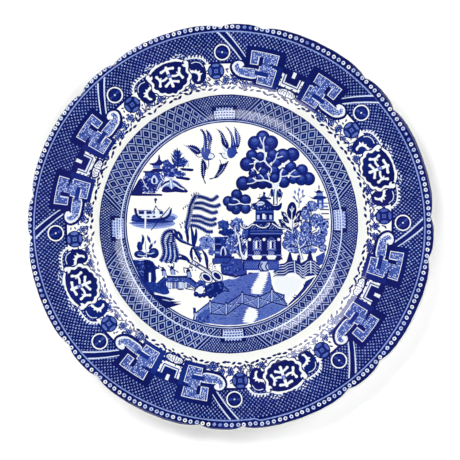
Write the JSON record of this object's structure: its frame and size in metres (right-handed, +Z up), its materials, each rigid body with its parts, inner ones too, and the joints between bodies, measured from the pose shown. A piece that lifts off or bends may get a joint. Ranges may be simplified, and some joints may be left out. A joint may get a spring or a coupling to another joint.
{
  "type": "dinner plate",
  "caption": "Round glazed dinner plate with a scalloped rim of alternating long and short lobes, a shallow well and a low foot ring.",
  "frame": {"origin": "centre of the foot ring's resting plane", "axes": "+Z up, out of the plate's face; +Y towards the top of the picture in the well; +X to the picture's right"},
  "size_m": [0.253, 0.253, 0.024],
  "materials": {
    "glazed_body": "clear gloss glaze over ivory-white earthenware with a cobalt-blue print"
  },
  "bodies": {
    "root": {"plate": "glazed_body"}
  },
  "joints": []
}
